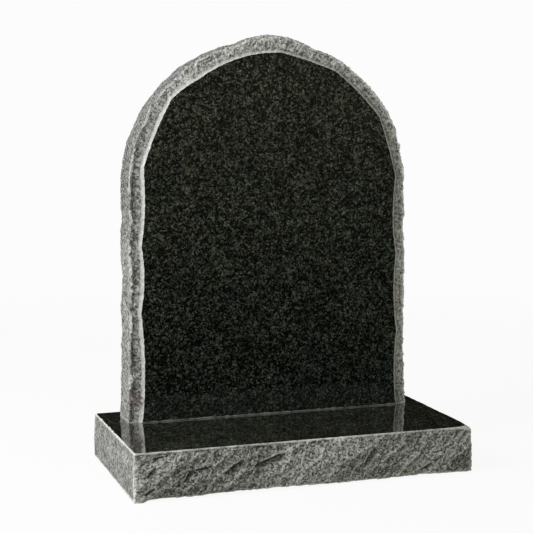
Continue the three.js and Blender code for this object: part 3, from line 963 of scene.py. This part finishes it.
# Studio: a plain white floor that fades into a white backdrop, a key light from the left
FLOOR_SIZE = 6.0
FLOOR_FADE_START = 1.2
FLOOR_FADE_END = 2.8
FLOOR_SHADE = 0.07           # how much of the floor's white is left to its shadows
BACKDROP_LEVEL = 0.974
AMBIENT_LEVEL = 0.33
SKY_TINT = (1, 1, 0.9, 1)
WHITE = (1, 1, 1, 1)
KEY_DIRECTION = Vector((-0.82, -0.22, 0.53))
KEY_DISTANCE = 2.6
KEY_SIZE = 1.4
KEY_LEVEL = 0.82             # what a white surface that faces the key shows of it
KEY_COLOUR = (0.97, 0.97, 1.0)

# What the polish mirrors: dark below, brighter above, with the middle and the width of the step
# between them, and dark all over behind the stone
MIRROR_LOW, MIRROR_HIGH = 0.007, 0.1
HORIZON, HORIZON_WIDTH = -0.06, 0.34
BEHIND, BEHIND_WIDTH = 0.1, 0.6


def light_studio():
    """White to the camera, softer to the stone, and dim in the mirror of the polish"""
    finish = Finish(bpy.data.worlds.new("studio"))
    bpy.context.scene.world = finish.holder
    way = finish.node("TexCoord", "Generated")
    rise = finish.node("SeparateXYZ", "Z", None, {"Vector": way}).above(HORIZON, HORIZON_WIDTH)
    back = finish.node("SeparateXYZ", "Y", None, {"Vector": way}).above(BEHIND, BEHIND_WIDTH)
    mirrored = MIRROR_LOW + (MIRROR_HIGH - MIRROR_LOW) * rise * (1 - back)
    to_camera = finish.node("LightPath", "Is Camera Ray")
    in_mirror = finish.node("LightPath", "Is Glossy Ray")
    level = AMBIENT_LEVEL * (1 - in_mirror) + mirrored * in_mirror
    seen = level * (1 - to_camera) + BACKDROP_LEVEL * to_camera
    background = finish.node("Background", "Background", None, {
        "Color": finish.mix(to_camera, SKY_TINT, WHITE), "Strength": seen,
    })
    finish.node("OutputWorld", None, None, {"Surface": background})

    key = bpy.data.lights.new("key", "AREA")
    key.shape = "SQUARE"
    key.size = KEY_SIZE
    key.color = KEY_COLOUR
    key.energy = KEY_LEVEL * math.pi**2 * KEY_DISTANCE**2
    lamp = bpy.data.objects.new("key", key)
    bpy.context.scene.collection.objects.link(lamp)
    way_to_key = KEY_DIRECTION.normalized()
    lamp.location = Vector((0, 0, STONE_HEIGHT / 2)) + way_to_key * KEY_DISTANCE
    lamp.rotation_euler = way_to_key.to_track_quat("Z", "Y").to_euler()


def make_floor():
    """A white floor under the base that fades out before its edge shows"""
    shape = bmesh.new()
    bmesh.ops.create_grid(shape, x_segments=1, y_segments=1, size=FLOOR_SIZE / 2)
    mesh = bpy.data.meshes.new("floor")
    shape.to_mesh(mesh)
    shape.free()
    floor = bpy.data.objects.new("floor", mesh)
    bpy.context.scene.collection.objects.link(floor)
    finish = new_finish("white_floor")
    away = finish.node("VectorMath", "Value", {"operation": "LENGTH"}, {0: finish.place()})
    gone = away.above((FLOOR_FADE_START + FLOOR_FADE_END) / 2, FLOOR_FADE_END - FLOOR_FADE_START)
    pale = finish.node("BsdfDiffuse", "BSDF", None, {
        "Color": (FLOOR_SHADE, FLOOR_SHADE, FLOOR_SHADE, 1),
    })
    key_rise = KEY_DIRECTION.normalized().z
    glow = finish.node("Emission", "Emission", None, {
        "Color": WHITE,
        "Strength": BACKDROP_LEVEL - FLOOR_SHADE * (AMBIENT_LEVEL + KEY_LEVEL * key_rise),
    })
    lit = finish.node("AddShader", "Shader", None, {0: pale, 1: glow})
    clear = finish.node("BsdfTransparent", "BSDF")
    faded = finish.node("MixShader", "Shader", None, {0: gone, 1: lit, 2: clear})
    mesh.materials.append(finish.surface(faded))
    floor.visible_glossy = False
    floor.visible_diffuse = False


# Camera at the photograph's viewing angle
CAMERA_PLACE = (-0.7980, -2.2881, 0.6443)
CAMERA_TURN = 18.684         # degrees to the right of straight ahead
CAMERA_DIP = 6.657           # degrees down
CAMERA_LENS = 92.42
CAMERA_SENSOR = 36.0


def set_camera():
    camera = bpy.data.cameras.new("camera")
    camera.lens = CAMERA_LENS
    camera.sensor_width = CAMERA_SENSOR
    holder = bpy.data.objects.new("camera", camera)
    bpy.context.scene.collection.objects.link(holder)
    holder.location = CAMERA_PLACE
    holder.rotation_euler = (math.radians(90 - CAMERA_DIP), 0, math.radians(-CAMERA_TURN))
    bpy.context.scene.camera = holder


set_camera()
light_studio()
make_floor()
bpy.context.scene.view_settings.view_transform = "Standard"

pitched, sawn = pitched_granite(), sawn_granite()
face_polish = polished_granite("polished_face", level=1.0, coat=0.0, clouding=0.26, warmth=0.0)
top_polish = polished_granite("polished_top", level=TOP_LEVEL, coat=1.0, clouding=0.5, warmth=0.7)
make_piece(
    "headstone_stone", "headstone", stone_outline(), (0, 1, 0), STONE_RINGS,
    hew_stone, [face_polish, pitched, sawn],
)
make_piece(
    "base_stone", "base", base_outline(), (0, 0, -1), BASE_RINGS, hew_base,
    [top_polish, pitched, sawn],
)
